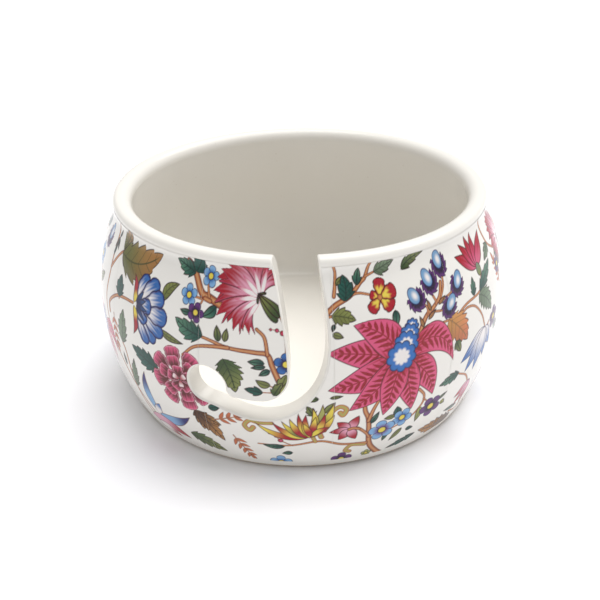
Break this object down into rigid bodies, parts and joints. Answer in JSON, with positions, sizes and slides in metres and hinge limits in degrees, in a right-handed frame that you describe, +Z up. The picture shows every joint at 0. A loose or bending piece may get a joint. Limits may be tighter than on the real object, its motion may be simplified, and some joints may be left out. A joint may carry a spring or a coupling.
{
  "type": "yarn bowl",
  "caption": "Round glazed ceramic yarn bowl with a floral print, a rounded lip, a foot ring and a J-shaped yarn slot that ends in a round eye",
  "frame": {"origin": "on the table under the centre of the bowl", "axes": "+Z up; -Y is the front, where the yarn slot opens, with its hook turned towards -X"},
  "size_m": [0.1552, 0.1551, 0.08],
  "materials": {
    "fired_clay": "matte, unglazed foot ring",
    "white_glaze": "glossy warm white glaze",
    "floral_transfer": "glossy fired floral print"
  },
  "bodies": {
    "root": {"clay_body": "fired_clay", "glaze_coat": "white_glaze", "underside_glaze": "white_glaze", "transfer_01": "floral_transfer", "transfer_02": "floral_transfer", "transfer_03": "floral_transfer", "transfer_04": "floral_transfer", "transfer_05": "floral_transfer", "transfer_06": "floral_transfer", "transfer_07": "floral_transfer", "transfer_08": "floral_transfer", "transfer_09": "floral_transfer", "transfer_10": "floral_transfer", "transfer_11": "floral_transfer", "transfer_tongue": "floral_transfer"}
  },
  "joints": []
}
